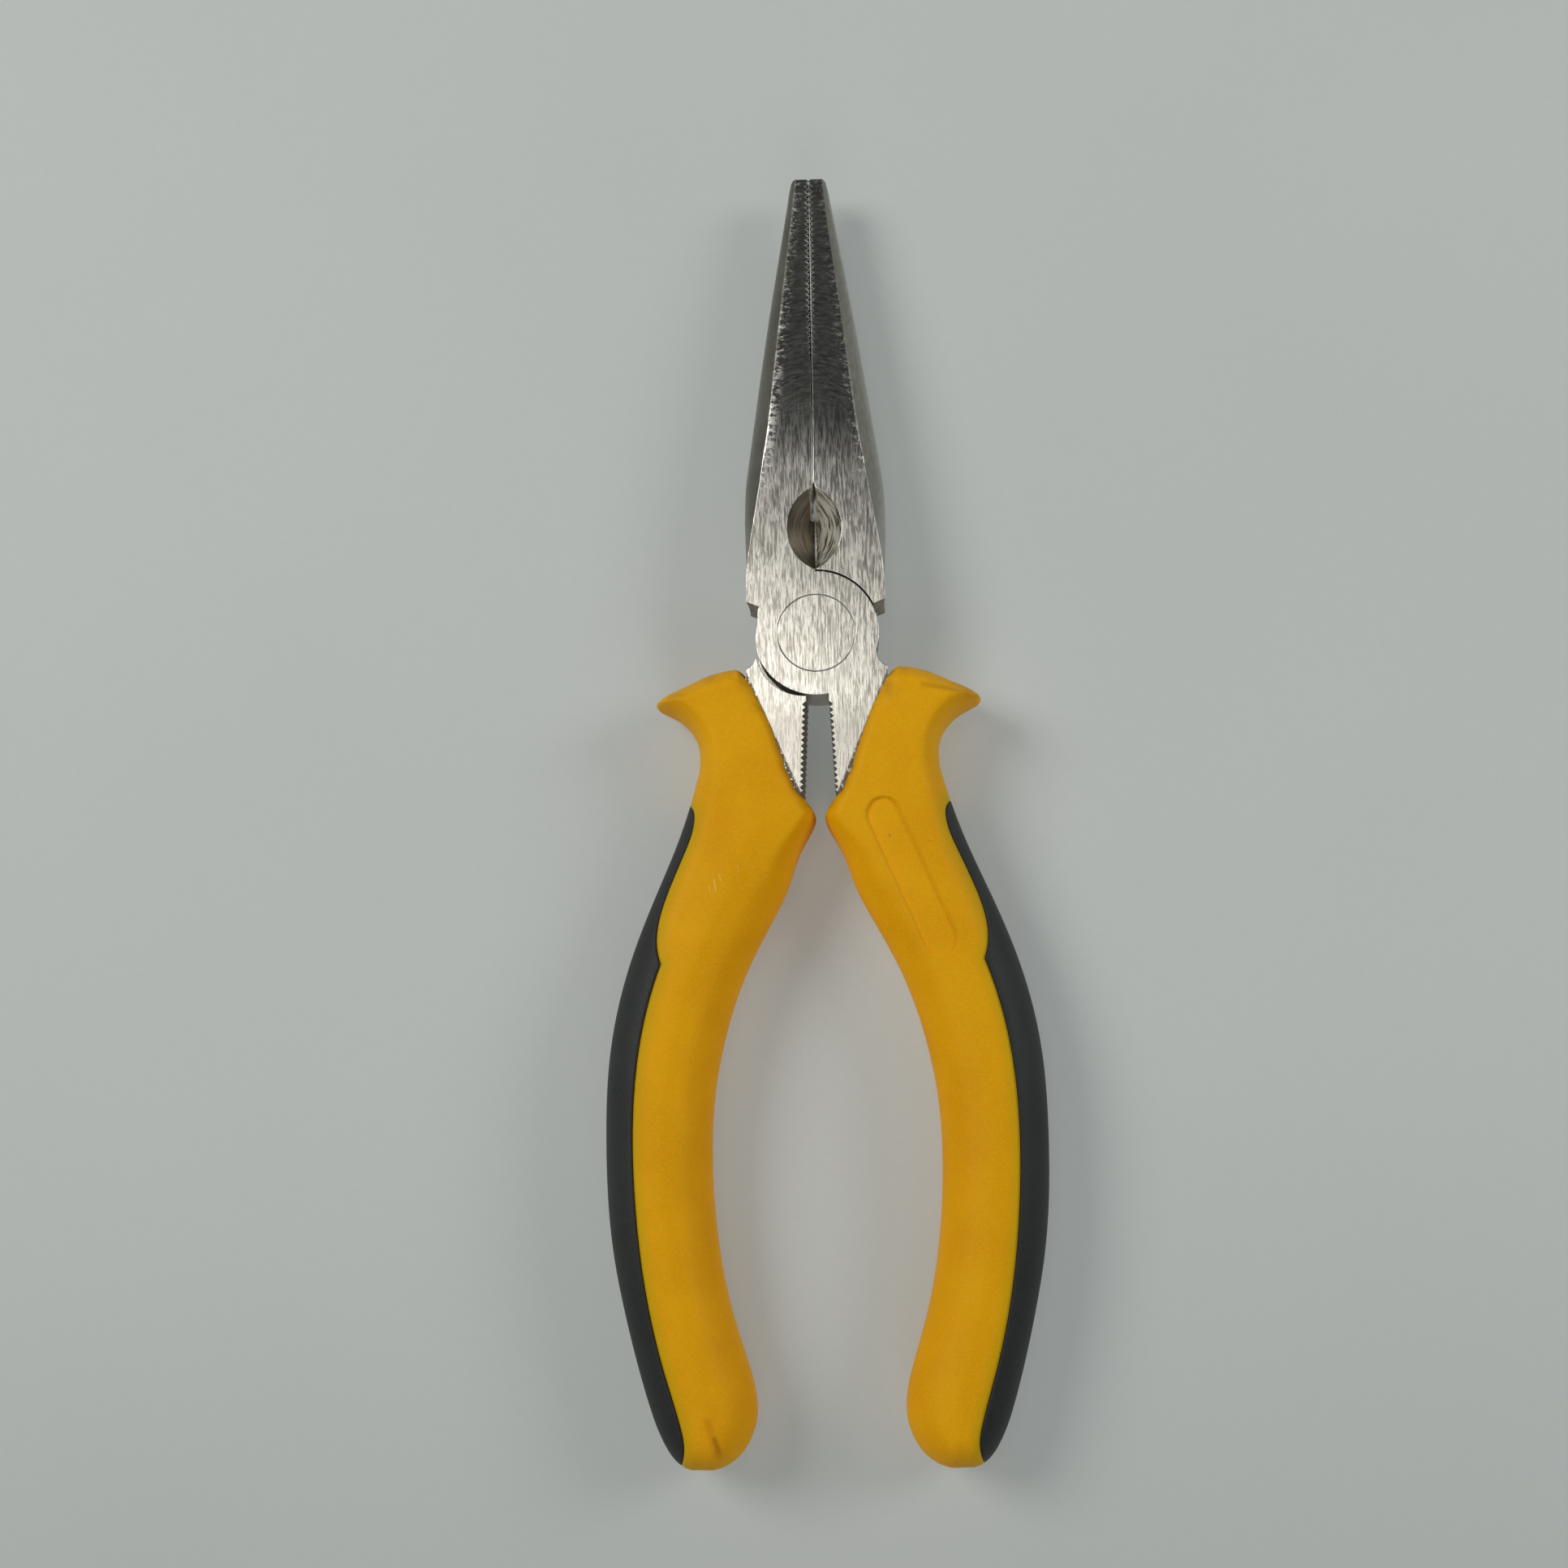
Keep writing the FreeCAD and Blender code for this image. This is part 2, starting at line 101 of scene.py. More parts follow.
class Paint:
    """A material under construction: short calls that add shader nodes and link them."""

    def __init__(self, name):
        self.material = bpy.data.materials.new(name)
        self.material.use_nodes = True
        self.tree = self.material.node_tree
        self.tree.nodes.clear()
        self.out = self.tree.nodes.new("ShaderNodeOutputMaterial")
        self.shader = self.tree.nodes.new("ShaderNodeBsdfPrincipled")
        self.tree.links.new(self.shader.outputs[0], self.out.inputs[0])
        coords = self.tree.nodes.new("ShaderNodeTexCoord")
        self.place = self.vector("SCALE", coords.outputs["Object"], scale=1 / MM)
        self.normal = coords.outputs["Normal"]

    def put(self, socket, value):
        if hasattr(value, "is_output"):
            self.tree.links.new(value, socket)
        else:
            socket.default_value = value

    def vector(self, operation, a, b=None, scale=None):
        node = self.tree.nodes.new("ShaderNodeVectorMath")
        node.operation = operation
        self.put(node.inputs[0], a)
        if b is not None:
            self.put(node.inputs[1], b)
        if scale is not None:
            self.put(node.inputs["Scale"], scale)
        return node.outputs["Value" if operation in ("LENGTH", "DOT_PRODUCT") else "Vector"]

    def math(self, operation, a, b=0.0, c=0.0, clamp=False):
        node = self.tree.nodes.new("ShaderNodeMath")
        node.operation, node.use_clamp = operation, clamp
        for socket, value in zip(node.inputs, (a, b, c)):
            self.put(socket, value)
        return node.outputs[0]

    def both(self, *masks):
        """The product of two or more masks."""
        result = masks[0]
        for mask in masks[1:]:
            result = self.math("MULTIPLY", result, mask)
        return result

    def either(self, *masks):
        """The strongest of two or more masks."""
        result = masks[0]
        for mask in masks[1:]:
            result = self.math("MAXIMUM", result, mask)
        return result

    def scaled(self, value, factor, offset):
        return self.math("MULTIPLY_ADD", value, factor, offset)

    def minus(self, a, b):
        return self.math("SUBTRACT", a, b)

    def size(self, value):
        return self.math("ABSOLUTE", value)

    def below(self, value, limit):
        return self.math("LESS_THAN", value, limit)

    def above(self, value, limit):
        return self.math("GREATER_THAN", value, limit)

    def between(self, value, low, high):
        return self.both(self.above(value, low), self.below(value, high))

    def without(self, mask, share=1.0):
        """1 where there is no mask, falling to 1 - share on it."""
        return self.math("MULTIPLY_ADD", mask, -share, 1.0)

    def stretched(self, across, along, deep=1.0):
        """Coordinates scaled along x, y and z, so that noise on them is drawn out."""
        return self.vector("MULTIPLY", self.place, (across, along, deep))

    def split(self, vector):
        node = self.tree.nodes.new("ShaderNodeSeparateXYZ")
        self.put(node.inputs[0], vector)
        return node.outputs

    def join(self, x, y, z):
        node = self.tree.nodes.new("ShaderNodeCombineXYZ")
        for socket, value in zip(node.inputs, (x, y, z)):
            self.put(socket, value)
        return node.outputs[0]

    def noise(self, vector, scale=1.0, detail=2.0, rough=0.5, distortion=0.0):
        """Noise on millimetre coordinates, about 0.5 on average."""
        node = self.tree.nodes.new("ShaderNodeTexNoise")
        self.put(node.inputs["Vector"], vector)
        node.inputs["Scale"].default_value = scale
        node.inputs["Detail"].default_value = detail
        node.inputs["Roughness"].default_value = rough
        node.inputs["Distortion"].default_value = distortion
        return node.outputs[0]

    def cells(self, vector, scale):
        """Distance to the nearest of scattered points."""
        node = self.tree.nodes.new("ShaderNodeTexVoronoi")
        self.put(node.inputs["Vector"], vector)
        node.inputs["Scale"].default_value = scale
        return node.outputs["Distance"]

    def ramp(self, value, low, high, to_low=0.0, to_high=1.0):
        """Smooth step of value from low to high."""
        node = self.tree.nodes.new("ShaderNodeMapRange")
        node.interpolation_type = "SMOOTHSTEP"
        for socket, number in zip(node.inputs, (value, low, high, to_low, to_high)):
            self.put(socket, number)
        return node.outputs[0]

    def mix(self, share, a, b):
        """Colour a to colour b."""
        node = self.tree.nodes.new("ShaderNodeMix")
        node.data_type = "RGBA"
        self.put(node.inputs["Factor"], share)
        for socket, colour in ((node.inputs["A"], a), (node.inputs["B"], b)):
            self.put(socket, colour if hasattr(colour, "is_output") else (*colour, 1))
        return node.outputs["Result"]

    def blend(self, share, a, b):
        """Number a to number b."""
        node = self.tree.nodes.new("ShaderNodeMix")
        self.put(node.inputs["Factor"], share)
        self.put(node.inputs["A"], a)
        self.put(node.inputs["B"], b)
        return node.outputs["Result"]

    def bump(self, height, depth_mm, under=None):
        node = self.tree.nodes.new("ShaderNodeBump")
        node.inputs["Distance"].default_value = depth_mm * MM
        self.put(node.inputs["Height"], height)
        if under is not None:
            self.put(node.inputs["Normal"], under)
        return node.outputs[0]

    def bevel(self, radius_mm):
        """Surface direction with edges rounded to the radius, in millimetres."""
        node = self.tree.nodes.new("ShaderNodeBevel")
        node.samples = 8
        self.put(node.inputs["Radius"], self.math("MULTIPLY", radius_mm, MM))
        return node.outputs[0]

    def stored(self, name):
        """A number kept on the mesh's points."""
        node = self.tree.nodes.new("ShaderNodeAttribute")
        node.attribute_name = name
        return node.outputs["Fac"]

    def line_mask(self, start, end, width):
        """1 on the plan line from start to end, fading to 0 at width, on the upper side only."""
        run = Vector((end[0] - start[0], end[1] - start[1], 0))
        x, y, z = self.split(self.place)
        flat = self.join(x, y, 0.0)
        offset = self.vector("SUBTRACT", flat, (start[0], start[1], 0.0))
        travelled = self.vector("DOT_PRODUCT", offset, tuple(run))
        share = self.math("DIVIDE", travelled, run.length_squared, clamp=True)
        nearest = self.vector("SCALE", tuple(run), scale=share)
        gap = self.vector("LENGTH", self.vector("SUBTRACT", offset, nearest))
        return self.both(self.ramp(gap, 0.0, width, 1.0, 0.0), self.above(z, 0.0))

    def set(self, **values):
        for name, value in values.items():
            socket = self.shader.inputs[name.replace("_", " ")]
            self.put(socket, value)
        return self.material


class Steel(Paint):
    """Forged steel: head ground lengthwise, nose finished across on a belt, dirt with painted shade where it
    collects, painted light and shade on the sides, the cutter's hollow and the teeth.
    """

    HEAD_HALF = 4.75
    TAPER_Y, TAPER_SLOPE = 26.5, -0.103
    FACE_EDGE_Y, FACE_EDGE_X, FACE_EDGE_SLOPE = 28.0, 5.25, -0.117
    LENS_Y, LENS_HALF_LENGTH, LENS_HALF_WIDTH = 13.15, 5.3, 3.5
    TEETH_TOP_Y, TEETH_BOTTOM_Y, TOOTH_PITCH = 58.4, 34.0, 0.73
    GRIP_EDGE_SLOPE, GRIP_EDGE_X = 0.427, 10.85

    def __init__(self, name):
        super().__init__(name)
        self.x, self.y, self.z = self.split(self.place)
        _, self.ny, self.nz = self.split(self.normal)
        self.reach = self.size(self.x)
        self.up = self.size(self.nz)
        drift = self.noise(self.stretched(0.8, 0.3), 1.0, 3.0, 0.6)
        self.flat = self.ramp(self.scaled(drift, 0.003, self.up), 0.9970, 1.0009)
        self.face = self.ramp(self.up, 0.80, 0.93)
        self.wall = self.without(self.ramp(self.up, 0.35, 0.6))
        along = self.math("DIVIDE", self.minus(self.y, self.LENS_Y), self.LENS_HALF_LENGTH)
        self.lens = self.scaled(along, along, self.math("DIVIDE", self.reach, self.LENS_HALF_WIDTH))
        self.hollow = self.both(self.below(self.lens, 1.02), self.below(self.up, 0.985))
        self.texture = self.grain()

    def streaks(self, along, across, detail):
        """Noise drawn out along y; along and across are in waves per millimetre."""
        return self.noise(self.stretched(across, along), 1.0, detail, 0.6)

    def grain(self):
        """Tool marks: lengthwise on the head, across on the nose, concentric in the cutter's hollow."""
        coarse, fine = self.streaks(0.34, 4.3, 3.0), self.streaks(0.9, 9.5, 2.0)
        lengthwise = self.blend(0.42, self.blend(0.15, coarse, self.streaks(0.06, 0.8, 2.0)), fine)
        bow = self.scaled(self.both(self.x, self.x), 0.07, self.y)
        bowed = self.join(self.both(self.x, 0.9), self.both(bow, 3.2), self.z)
        belt = self.noise(bowed, 1.0, 4.0, 0.65, 0.5)
        polish = self.noise(self.stretched(2.0, 0.9, 3.0), 1.0, 3.0, 0.55)
        rings = self.join(self.both(self.lens, 13.0), self.both(self.y, 0.3), self.z)
        turned = self.noise(rings, 1.0, 3.0, 0.6)
        on_face = self.blend(self.face, polish, self.blend(self.flat, belt, lengthwise))
        return self.blend(self.hollow, on_face, turned)

    def tone_with_painted_light(self):
        """The metal's tone on the head and the nose, with painted light and shade on the sides and lit and
        shaded copies in the cutter's hollow.
        """
        texture = self.texture
        bright = self.mix(self.ramp(texture, 0.40, 0.58), (0.33, 0.31, 0.275), (0.94, 0.915, 0.85))
        nose = self.mix(self.ramp(texture, 0.35, 0.7), (0.14, 0.137, 0.124), (0.36, 0.352, 0.325))
        head_share = self.ramp(self.scaled(self.x, 0.8, self.y), 18.0, 35.0, 1.0, 0.0)
        # Painted light and shade on the side strips: the left strip darker, the right one lighter, both darker
        # towards the crease with the face.
        crease_shade = self.ramp(self.up, 0.12, 0.55)
        shaded_left_side = self.mix(crease_shade, (0.33, 0.32, 0.28), (0.17, 0.162, 0.138))
        lit_right_side = self.mix(crease_shade, (0.60, 0.59, 0.54), (0.32, 0.31, 0.27))
        side = self.mix(self.ramp(self.x, -1.0, 1.0), shaded_left_side, lit_right_side)
        side = self.mix(self.ramp(texture, 0.3, 0.7, 0.35, 0.0), side, (0.12, 0.11, 0.09))
        # Painted light and shade in the cutter's hollow: a lit copy where x·nz is positive, a shaded copy
        # elsewhere.
        shaded = self.mix(self.ramp(texture, 0.3, 0.7), (0.07, 0.056, 0.038), (0.21, 0.178, 0.13))
        lit = self.mix(self.ramp(texture, 0.42, 0.54), (0.13, 0.105, 0.07), (1.0, 0.96, 0.82))
        in_light = self.above(self.both(self.x, self.nz), 0.0)
        colour = self.mix(self.face, side, self.mix(self.both(self.flat, head_share), nose, bright))
        return self.mix(self.hollow, colour, self.mix(in_light, shaded, lit))

    def aged(self, colour):
        """Dull clouds, duller handle bars and small rusty pits."""
        cloud = self.noise(self.place, 0.22, 3.0, 0.55)
        pits = self.ramp(self.noise(self.place, 1.7, 5.0, 0.75), 0.62, 0.70)
        colour = self.mix(self.ramp(cloud, 0.35, 0.75, 0.0, 0.22), colour, (0.42, 0.40, 0.36))
        colour = self.mix(self.ramp(self.y, -12.0, -7.0, 0.5, 0.0), colour, (0.30, 0.285, 0.25))
        return self.mix(self.both(pits, 0.45), colour, (0.20, 0.165, 0.12))

    def nicks_and_glints(self):
        """Bright nicks and painted glints along the outer edges of the nose's faces, most of them on the left
        edge, where it catches the light.
        """
        beyond = self.minus(self.y, self.FACE_EDGE_Y)
        edge_x = self.scaled(beyond, self.FACE_EDGE_SLOPE, self.FACE_EDGE_X)
        inside = self.minus(edge_x, self.reach)
        slanted = self.join(self.scaled(self.y, 0.5, self.x), self.both(self.y, 2.3), self.z)
        nicks = self.noise(slanted, 1.0, 4.0, 0.75, 0.4)
        # Painted glints: more bright marks on the left edge between y 17 and 38 mm, where it catches the
        # light.
        glint_band = self.both(self.ramp(self.y, 17.0, 22.0), self.ramp(self.y, 26.0, 38.0, 1.0, 0.0),
                           self.below(self.x, 0.0))
        nicks = self.ramp(self.scaled(glint_band, 0.07, nicks), 0.52, 0.60)
        near_edge = self.ramp(inside, 0.25, 1.6, 1.0, 0.0)
        lengthwise = self.both(self.ramp(self.y, 13.0, 22.0), self.ramp(self.y, 34.0, 50.0, 1.0, 0.6))
        sideways = self.ramp(self.x, -1.0, 1.0, 0.85, 0.45)
        return self.both(nicks, near_edge, lengthwise, self.face, sideways)

    def burr_glints(self):
        """Burrs painted as short bright glints on the faces where each tooth's crest was cut, stronger on the
        left.
        """
        travelled = self.scaled(self.reach, 0.7, self.minus(self.TEETH_TOP_Y, self.y))
        phase = self.math("FRACT", self.math("DIVIDE", travelled, self.TOOTH_PITCH))
        uneven = self.ramp(self.noise(self.place, 1.1, 2.0, 0.5), 0.35, 0.55, 0.35, 1.0)
        # Painted glints: a bright stroke at each crest.
        stroke = self.both(self.ramp(phase, 0.12, 0.34, 1.0, 0.0),
                           self.ramp(self.reach, 0.35, 0.75, 1.0, 0.0))
        toothed = self.both(self.ramp(self.y, 33.0, 45.0), self.below(self.y, self.TEETH_TOP_Y + 0.1))
        sideways = self.ramp(self.x, -0.3, 0.3, 0.75, 0.5)
        return self.both(stroke, toothed, self.face, sideways, uneven)

    def finished(self):
        """The complete material: aged metal, painted light in the openings and on the teeth's flanks, grime
        with painted shade, shine and rounded edges.
        """
        nicks_and_glints = self.either(self.nicks_and_glints(), self.burr_glints())
        # Bright nicks with painted glints on the nose's edges and the teeth's crests.
        colour = self.mix(nicks_and_glints, self.aged(self.tone_with_painted_light()), (0.95, 0.93, 0.86))

        taper = self.scaled(self.minus(self.y, self.TAPER_Y), self.TAPER_SLOPE, self.HEAD_HALF)
        depth = self.minus(self.math("MINIMUM", taper, self.HEAD_HALF), self.size(self.z))
        arris = self.ramp(depth, 0.15, 1.0, 1.0, 0.0)
        cleft = self.both(self.wall, self.below(self.reach, 0.55))
        notch = self.both(cleft, self.between(self.y, 14.8, 19.0), self.above(self.reach, 0.09))
        flanks = self.both(cleft, arris, self.above(self.y, self.TEETH_BOTTOM_Y))
        lit_flanks = self.both(flanks, self.below(self.ny, 0.0))
        seam = self.both(self.wall, self.below(self.reach, 0.22), self.above(self.y, 18.6),
                         self.ramp(self.y, 50.0, 58.0, 0.9, 0.2), arris)
        lintel = self.both(self.wall, self.ramp(self.reach, 1.2, 2.6, 1.0, 0.0),
                           self.between(self.y, -8.4, -5.5))
        from_pivot = self.vector("LENGTH", self.join(self.x, self.y, 0.0))
        ring = self.both(self.between(from_pivot, 4.66, 4.9), self.without(self.face))
        # Painted light: pale walls in the stripper notch, along the jaws' parting seam and under the slot's
        # lintel, where light comes through; a painted highlight on the rivet's ring at half strength.
        painted_light_walls = self.either(notch, seam, self.both(lintel, 0.5), self.both(ring, 0.5))
        # Painted light and shade on the teeth's flanks: flanks facing -y painted bright, the others painted
        # dark.
        colour = self.mix(flanks, colour, self.mix(lit_flanks, (0.05, 0.043, 0.034), (0.97, 0.95, 0.90)))
        colour = self.mix(painted_light_walls, colour, (0.97, 0.91, 0.80))

        slot = self.both(self.below(self.reach, 3.2), self.between(self.y, -24.0, -7.6))
        gap = self.between(from_pivot, 7.0, 9.3)
        grip_edge = self.scaled(self.y, self.GRIP_EDGE_SLOPE, self.GRIP_EDGE_X)
        rim = self.both(self.ramp(self.minus(self.reach, grip_edge), -0.34, -0.06),
                        self.below(self.y, -4.8))
        speckle = self.ramp(self.noise(self.place, 2.4, 4.0, 0.7), 0.30, 0.60)
        # Dirt and painted shade: patchy dark brown on the walls in the slot and the joint's gap, and on the
        # steel's rim along the grips.
        grime_and_shade = self.both(self.either(self.both(self.either(slot, gap), self.wall), rim), speckle,
                          self.scaled(lintel, -1.0, 0.9))
        colour = self.mix(grime_and_shade, colour, self.mix(rim, (0.19, 0.15, 0.11), (0.16, 0.115, 0.08)))

        rough = self.blend(self.flat, 0.27, self.ramp(self.texture, 0.25, 0.75, 0.15, 0.25))
        rough = self.blend(self.hollow, self.blend(self.face, 0.40, rough), 0.42)
        rough = self.either(rough, self.both(grime_and_shade, 0.7), self.both(painted_light_walls, 0.6))
        dull = self.either(self.both(grime_and_shade, 0.8), painted_light_walls, lit_flanks, self.both(nicks_and_glints, 0.8))
        metal = self.math("MINIMUM", self.without(dull), self.without(self.hollow, 0.45))

        on_nose = self.both(self.ramp(self.y, 19.0, 27.0), self.ramp(self.reach, 0.9, 1.6))
        hammered = self.ramp(self.noise(self.place, 1.5, 3.0, 0.6), 0.40, 0.62, 0.1, 0.9)
        softened = self.bevel(self.scaled(on_nose, hammered, 0.09))
        relief = self.bump(self.texture, 0.011, softened)
        return self.set(Base_Color=colour, Metallic=metal, Roughness=rough, Normal=relief)


def moulded(name, base, light, dark, roughness):
    """Moulded plastic with a satin texture, flow clouds and flecks."""
    p = Paint(name)
    cloud = p.noise(p.place, 0.12, 3.0, 0.5)
    grain = p.noise(p.place, 3.6, 3.0, 0.65)
    fleck = p.cells(p.place, 0.55)
    colour = p.mix(p.ramp(cloud, 0.3, 0.7), dark, base)
    colour = p.mix(p.ramp(grain, 0.45, 0.7, 0.0, 0.5), colour, light)
    colour = p.mix(p.ramp(grain, 0.32, 0.48, 0.35, 0.0), colour, dark)
    colour = p.mix(p.ramp(fleck, 0.03, 0.07, 0.5, 0.0), colour, dark)
    shine = p.ramp(grain, 0.3, 0.7, roughness - 0.06, roughness + 0.08)
    relief = p.bump(p.noise(p.place, 2.6, 4.0, 0.7), 0.045)
    p.set(Base_Color=colour, Roughness=shine, Normal=relief)
    return p, colour


def grey_plastic():
    base, light, dark = (0.017, 0.0195, 0.018), (0.034, 0.038, 0.035), (0.012, 0.0135, 0.0125)
    p, _ = moulded("grip_grey", base, light, dark, 0.60)
    return p.material


def yellow_plastic(side, marks):
    """Yellow with a greenish seam, darker brown beside the steel, painted shade on the guard's chamfer and
    this grip's own marks.
    """
    base, light, dark = (0.96, 0.465, 0.0022), (1.0, 0.54, 0.008), (0.88, 0.405, 0.0016)
    p, colour = moulded("grip_yellow_" + side, base, light, dark, 0.55)
    colour = p.mix(p.ramp(p.stored("seam_distance"), 0.0, 1.9, 0.62, 0.0), colour, (0.62, 0.42, 0.004))
    # Patchy darker brown within about half a millimetre of the steel.
    dark_beside_steel = p.both(p.ramp(p.stored("steel_distance"), 0.0, 0.55, 0.6, 0.0),
                  p.ramp(p.noise(p.place, 1.3, 4.0, 0.7), 0.35, 0.6))
    colour = p.mix(dark_beside_steel, colour, (0.22, 0.10, 0.02))
    # Painted shade: uneven darker orange along the guard's chamfer.
    chamfer_shade = p.both(p.ramp(p.stored("crown_distance"), 0.6, 2.6, 1.0, 0.0),
                  p.ramp(p.noise(p.place, 0.35, 2.0, 0.5), 0.45, 0.72, 0.0, 0.5))
    colour = p.mix(chamfer_shade, colour, (0.52, 0.24, 0.012))
    for start, end, width, tint, share in marks:
        uneven = p.ramp(p.noise(p.place, 0.5, 1.0, 0.5), 0.3, 0.6, 0.7, 1.0)
        colour = p.mix(p.both(p.line_mask(start, end, width), uneven, share), colour, tint)
    p.set(Subsurface_Weight=0.10, Subsurface_Radius=(1.0, 0.45, 0.05), Subsurface_Scale=1.6 * MM)
    return p.set(Base_Color=colour, Specular_IOR_Level=0.13)


def backdrop():
    """Matt pale board that gives off a little light, so that shadows stay soft; painted shade darkens it
    towards the handles.
    """
    p = Paint("pale_floor")
    cloud = p.noise(p.place, 0.012, 3.0, 0.5)
    fibre = p.noise(p.place, 0.9, 4.0, 0.6)
    colour = p.mix(p.ramp(cloud, 0.3, 0.7), (0.425, 0.448, 0.435), (0.45, 0.468, 0.456))
    colour = p.mix(p.ramp(fibre, 0.35, 0.65, 0.0, 0.12), colour, (0.38, 0.395, 0.385))
    _, y, _ = p.split(p.place)
    # Painted shade: the floor darker towards the handles.
    colour = p.mix(p.ramp(y, -135.0, -40.0, 0.30, 0.0), colour, (0.20, 0.205, 0.20))
    relief = p.bump(p.noise(p.place, 1.4, 2.0, 0.5), 0.01)
    p.set(Emission_Color=(0.94, 1.0, 0.965, 1.0), Emission_Strength=0.165)
    return p.set(Base_Color=colour, Roughness=0.85, Normal=relief)


# ---------------------------------------------------------------- grips

def triangles(node):
    """The node's surface as an array of triangles in millimetres."""
    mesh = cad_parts[node].data
    mesh.calc_loop_triangles()
    points = np.array([v.co for v in mesh.vertices]) / MM
    return points[np.array([t.vertices for t in mesh.loop_triangles])]


def spans(nodes, rows):
    """Lowest and highest x of the nodes' surface at each level y in rows."""
    soup = np.concatenate([triangles(n) for n in nodes])
    low, high = [], []
    for y in rows:
        found = []
        for i, j in ((0, 1), (1, 2), (2, 0)):
            a, b = soup[:, i], soup[:, j]
            crossing = (a[:, 1] - y) * (b[:, 1] - y) < 0
            share = (y - a[crossing, 1]) / (b[crossing, 1] - a[crossing, 1])
            found.append(a[crossing, 0] + share * (b[crossing, 0] - a[crossing, 0]))
        found = np.concatenate(found)
        low.append(found.min() if len(found) else np.nan)
        high.append(found.max() if len(found) else np.nan)
    return np.array(low), np.array(high)


def smoothed(values, passes):
    """Values evened out along the rows, with both ends kept."""
    for _ in range(passes):
        inner = 0.25 * values[:-2] + 0.5 * values[1:-1] + 0.25 * values[2:]
        values = np.concatenate([values[:1], inner, values[-1:]])
    return values


def step(value, low, high):
    """Smooth step from 0 at low to 1 at high."""
    t = np.clip((value - low) / (high - low), 0, 1)
    return t * t * (3 - 2 * t)


def distance_to_line(points, line):
    """Plan distance from each point to a polyline."""
    a, b = line[:-1], line[1:]
    run = b - a
    length = np.maximum((run ** 2).sum(1), 1e-12)
    best = np.full(len(points), 1e9)
    for i in range(len(a)):
        t = np.clip(((points - a[i]) @ run[i]) / length[i], 0, 1)
        best = np.minimum(best, ((points - a[i] - t[:, None] * run[i]) ** 2).sum(1))
    return np.sqrt(best)


def rounded(distance, reach, wall, top):
    """Height above the mid plane: wall at the outline, rising as a quarter ellipse to top over reach."""
    rest = 1 - np.clip(distance / reach, 0, 1)
    return wall + (top - wall) * (1 - rest ** 2.0) ** 0.5


class Grip:
    """The right-hand grip's shape, read off its CAD solids; the left one is the same turned half a turn."""

    ROWS = 460
    GUARD_TIP_Y = -8.3
    RIDGE_SHARE = 0.46
    INNER_SLOPE, OUTER_SLOPE = 0.27, 0.13
    GUARD_CHAMFER_SLOPE, GUARD_CHAMFER_WIDTH = 0.42, 1.75
    STEEL_WALL, FREE_INNER_WALL, OUTER_WALL = 4.3, 0.8, 0.6
    RIDGE_BLEND = 0.35
    LEAST_HALF = 0.4

    def __init__(self):
        low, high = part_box("right_sleeve")
        self.top, self.end = high[1] / MM - 0.03, low[1] / MM + 0.03
        self.half = high[2] / MM
        self.rows = self.levels()
        inner, _ = spans(["right_sleeve"], self.rows)
        _, outer = spans(["right_sleeve", "right_grip_insert"], self.rows)
        self.seam, _ = spans(["right_grip_insert"], self.rows)
        self.inner, self.outer = smoothed(inner, 4), smoothed(outer, 4)
        caps = [[[0.5 * (self.inner[i] + self.outer[i]), self.rows[i]]] for i in (0, -1)]
        self.inner_line, self.outer_line = (
            np.concatenate([caps[0], np.stack([edge, self.rows], 1), caps[1]])
            for edge in (self.inner, self.outer))
        self.seam_line = np.stack([self.seam, self.rows], 1)[np.isfinite(self.seam)]
        self.crown_line = np.concatenate(
            [line[line[:, 1] > self.GUARD_TIP_Y] for line in (self.inner_line[::-1], self.outer_line)])

    def levels(self):
        """Levels from the top of the guard to the end, closer where the outline turns fast."""
        bunches = ((self.top, 0.5, 3.0), (-8.0, 1.6, 1.6), (-22.3, 2.0, 0.8), (-30.0, 12.0, 0.8),
                   (self.end, 1.2, 5.0))
        fine = np.linspace(self.top, self.end, 6000)
        middle = 0.5 * (fine[1:] + fine[:-1])
        weight = 1.0 + sum(extra * np.exp(-((middle - y) / width) ** 2) for y, width, extra in bunches)
        travelled = np.concatenate([[0], np.cumsum(weight)])
        return np.interp(np.linspace(0, travelled[-1], self.ROWS), travelled, fine)

    def height(self, x, y):
        """Half thickness of the grip at a plan point."""
        points = np.stack([x, y], 1)
        inner, outer = np.interp(-y, -self.rows, self.inner), np.interp(-y, -self.rows, self.outer)
        t = x - (inner + self.RIDGE_SHARE * (outer - inner))
        crease = 0.9 - 0.5 * step(-y, 45.0, 75.0)
        soft = np.sqrt(t * t + crease ** 2) - crease
        slope = np.where(t > 0, self.OUTER_SLOPE, self.INNER_SLOPE)
        top = self.half - step(-y, 15.0, 36.0) * soft * slope - 0.02
        chamfer = self.GUARD_CHAMFER_WIDTH - distance_to_line(points, self.crown_line)
        top -= self.GUARD_CHAMFER_SLOPE * 0.5 * (chamfer + np.sqrt(chamfer ** 2 + 0.15 ** 2))
        free = np.maximum(step(-y, 19.5, 23.5), step(y, -5.9, -4.9))
        inner_side = rounded(distance_to_line(points, self.inner_line), 1.5 + 2.9 * step(-y, 19.0, 34.0),
                             self.STEEL_WALL - (self.STEEL_WALL - self.FREE_INNER_WALL) * free, top)
        outer_side = rounded(distance_to_line(points, self.outer_line), 2.6 + 2.0 * step(-y, 11.0, 30.0),
                             self.OUTER_WALL, top)
        near = np.maximum(self.RIDGE_BLEND - np.abs(inner_side - outer_side), 0)
        lower = np.minimum(inner_side, outer_side) - near ** 2 / (4 * self.RIDGE_BLEND)
        return np.maximum(lower, self.LEAST_HALF)


